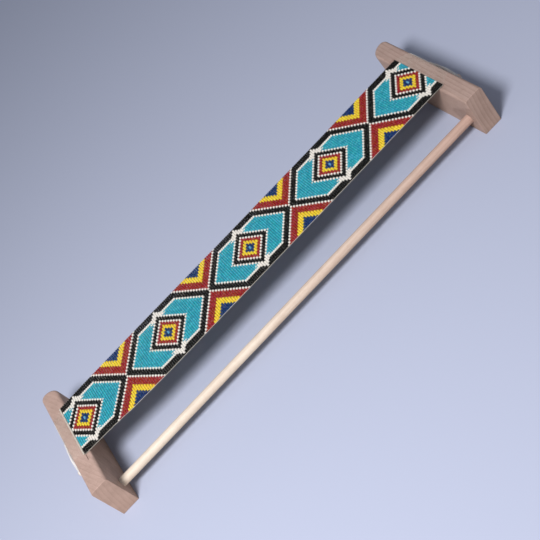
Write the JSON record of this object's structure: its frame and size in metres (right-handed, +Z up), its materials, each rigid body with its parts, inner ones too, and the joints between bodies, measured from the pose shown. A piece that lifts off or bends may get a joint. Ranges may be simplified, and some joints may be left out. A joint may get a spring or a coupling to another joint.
{
  "type": "bead loom",
  "caption": "Small wooden bead loom: end boards standing on edge, round dowels between them, and a finished band of patterned seed beadwork stretched across the top.",
  "frame": {"origin": "on the table, under the middle of the loom", "axes": "+X along the band from the left end board to the right one, +Y from the square near ends of the boards to their rounded far ends, +Z up"},
  "size_m": [0.5024, 0.15, 0.0455],
  "materials": {
    "board_wood": "bare, sanded, fine straight grain",
    "dowel_wood": "bare pale birch",
    "thread": "waxed white beading thread",
    "turquoise_glass": "opaque, glossy",
    "black_glass": "opaque, glossy",
    "white_glass": "opaque, glossy",
    "red_glass": "opaque, glossy",
    "yellow_glass": "opaque, glossy",
    "dark_blue_glass": "opaque, glossy",
    "light_blue_glass": "opaque, glossy"
  },
  "bodies": {
    "root": {"left_end_board": "board_wood", "right_end_board": "board_wood", "front_dowel": "dowel_wood", "rear_dowel": "dowel_wood", "left_tie_pegs": "dowel_wood", "right_tie_pegs": "dowel_wood", "left_warp_hank": "thread", "right_warp_hank": "thread", "left_warp_tails": "thread", "right_warp_tails": "thread", "selvage_threads": "thread", "closing_weft": "thread", "turquoise_beads": "turquoise_glass", "black_beads": "black_glass", "white_beads": "white_glass", "red_beads": "red_glass", "yellow_beads": "yellow_glass", "dark_blue_beads": "dark_blue_glass", "light_blue_beads": "light_blue_glass"}
  },
  "joints": []
}
